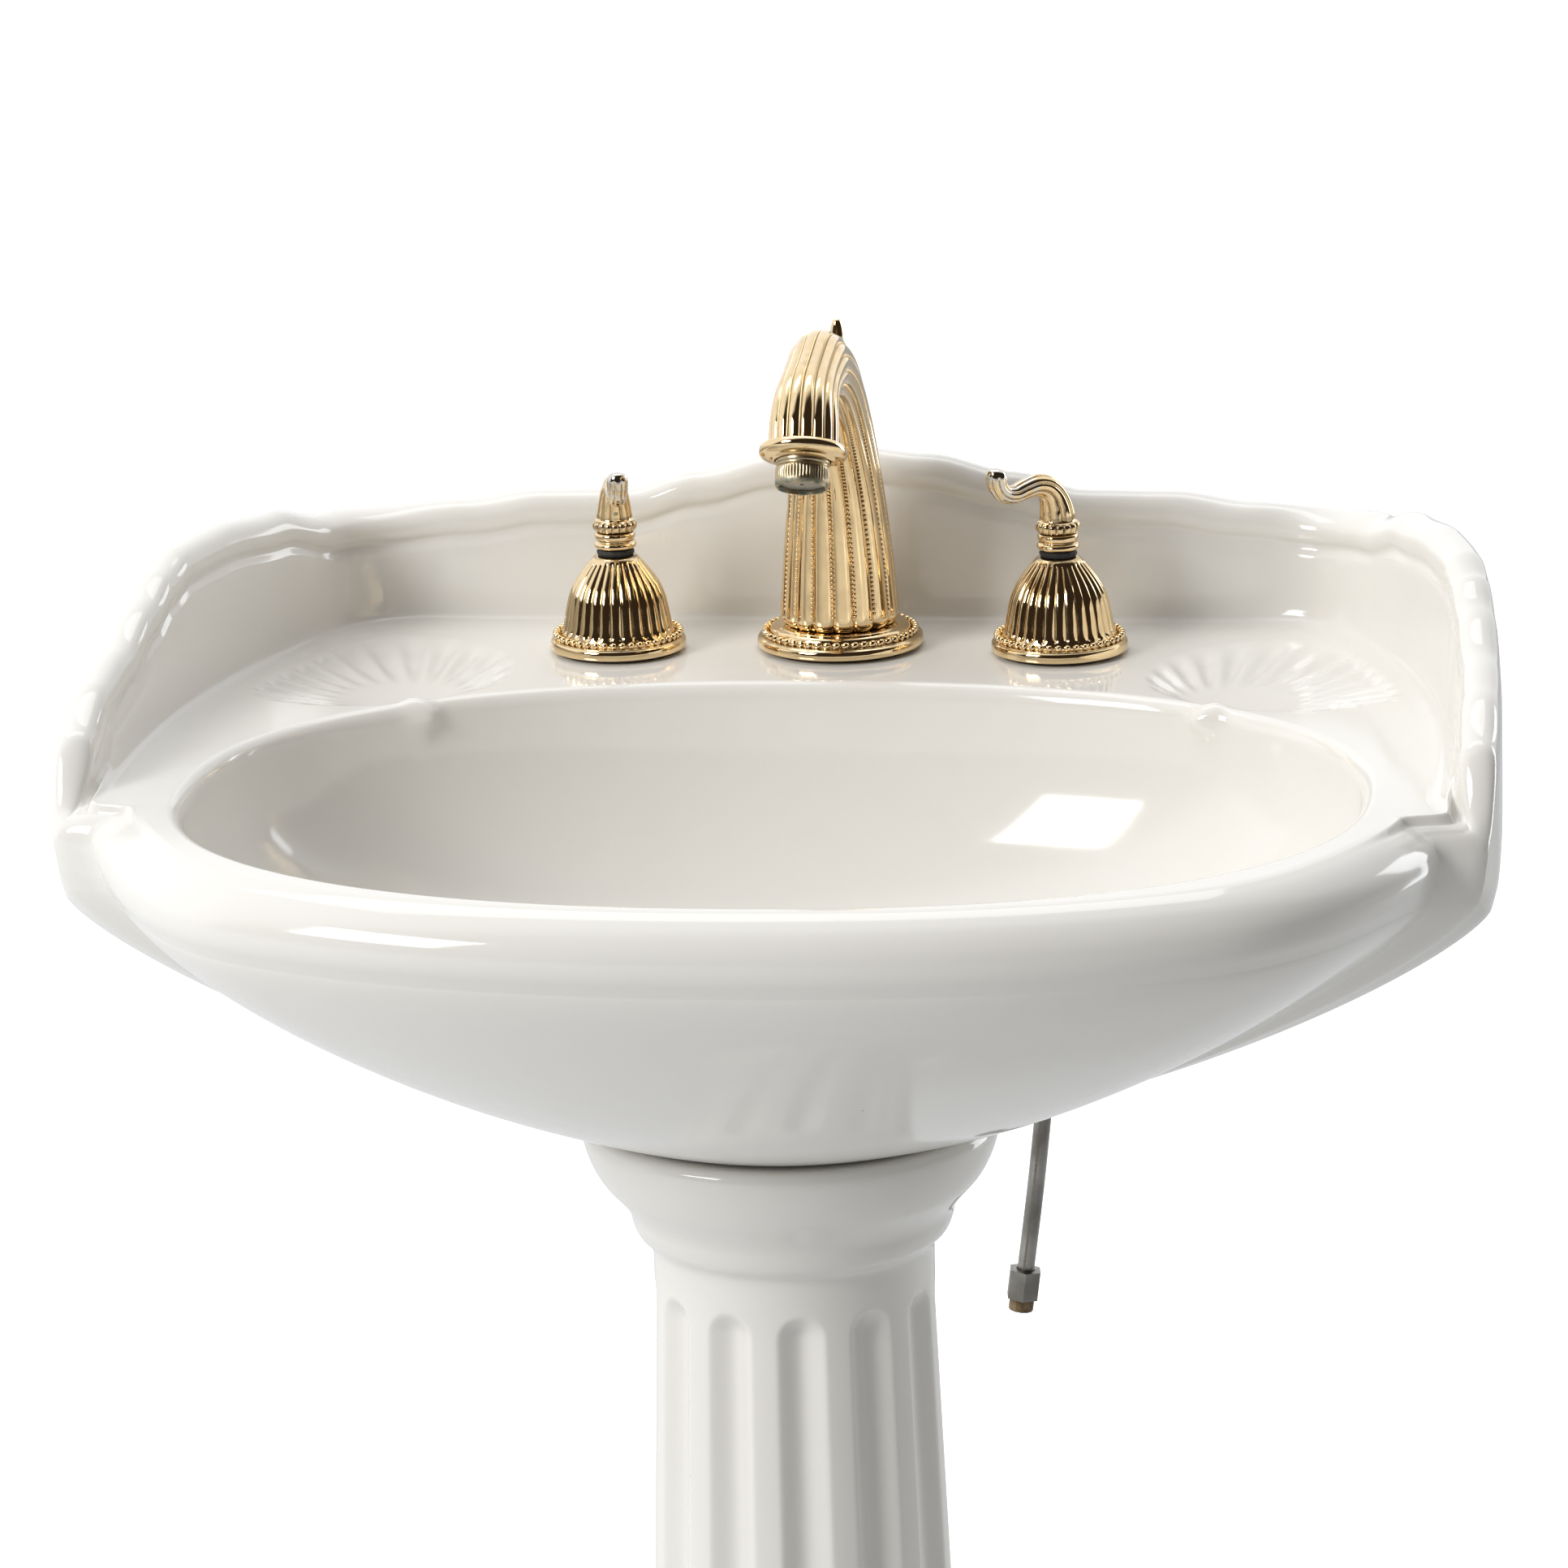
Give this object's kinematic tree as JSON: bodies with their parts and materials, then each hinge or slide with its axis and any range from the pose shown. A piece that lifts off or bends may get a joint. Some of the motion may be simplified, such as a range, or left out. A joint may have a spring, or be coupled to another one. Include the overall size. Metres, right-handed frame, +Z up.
{
  "type": "pedestal sink",
  "caption": "Pedestal sink: oval basin with a wavy splash-back on a fluted column, gilt widespread faucet with S-shaped levers, fluted spout and a pop-up drain.",
  "frame": {"origin": "on the floor under the middle of the basin's box", "axes": "+X to the user's right, +Y to the wall behind the sink, +Z up"},
  "size_m": [0.6158, 0.524, 0.9705],
  "materials": {
    "ceramic": "glossy warm white glaze",
    "gold": "polished gilt plating",
    "worn_gold": "gilt plating dulled by lime",
    "brass": "machined",
    "worn_brass": "tarnished",
    "copper": "drawn copper tube",
    "steel": "plain",
    "nickel": "dull nickel plating, handled",
    "rubber": "matt",
    "nut_plastic": "moulded"
  },
  "bodies": {
    "sink": {"basin": "ceramic", "pedestal": "ceramic", "spout_gasket": "rubber", "spout_base": "gold", "spout_body": "gold", "spout_flange": "gold", "aerator_housing": "worn_gold", "aerator_screen": "steel", "spout_shank": "brass", "spout_washer": "steel", "spout_nut": "brass", "mixing_tee": "brass", "hot_gasket": "rubber", "hot_escutcheon": "gold", "hot_valve_body": "brass", "hot_washer": "steel", "hot_locknut": "brass", "hot_connector": "copper", "hot_coupling_nut": "brass", "hot_supply_tube": "nickel", "hot_compression_nut": "nickel", "hot_ferrule": "worn_brass", "cold_gasket": "rubber", "cold_escutcheon": "gold", "cold_valve_body": "brass", "cold_washer": "steel", "cold_locknut": "brass", "cold_connector": "copper", "cold_coupling_nut": "brass", "cold_supply_tube": "nickel", "cold_compression_nut": "nickel", "cold_ferrule": "worn_brass", "drain_flange": "gold", "drain_gasket": "rubber", "drain_locknut": "brass", "drain_body": "brass", "tailpiece": "gold", "pivot_nut": "nut_plastic"},
    "hot_handle": {"hot_stem": "brass", "hot_o_ring": "rubber", "hot_hub": "gold", "hot_lever": "gold", "hot_set_screw": "steel"},
    "cold_handle": {"cold_stem": "brass", "cold_o_ring": "rubber", "cold_hub": "gold", "cold_lever": "gold", "cold_set_screw": "steel"},
    "lift": {"lift_rod": "gold", "clevis_strap": "steel", "clevis_screw": "steel"},
    "pivot": {"pivot_rod": "steel", "spring_clip": "steel"},
    "plug": {"stopper": "gold", "stopper_stem": "brass"}
  },
  "joints": [
    {"name": "hot_turn", "type": "hinge", "parent": "sink", "child": "hot_handle", "pos_m": [-0.1016, 0.185, 0.863], "axis": [0, 0, 1], "range_deg": [-90, 0]},
    {"name": "cold_turn", "type": "hinge", "parent": "sink", "child": "cold_handle", "pos_m": [0.1016, 0.185, 0.863], "axis": [0, 0, 1], "range_deg": [0, 90]},
    {"name": "lift_slide", "type": "slide", "parent": "sink", "child": "lift", "axis": [0, 0, 1], "range_m": [0, 0.055]},
    {"name": "pivot_swing", "type": "hinge", "parent": "sink", "child": "pivot", "pos_m": [0, 0.002, 0.627], "axis": [1, 0, 0], "range_deg": [0, 15.4]},
    {"name": "plug_slide", "type": "slide", "parent": "sink", "child": "plug", "axis": [0, 0, 1], "range_m": [-0.00643, 0]}
  ],
  "couplings": [
    {"joint": "pivot_swing", "follows": "lift_slide", "rad_per_m": 4.8544},
    {"joint": "plug_slide", "follows": "lift_slide", "ratio": -0.1165}
  ]
}
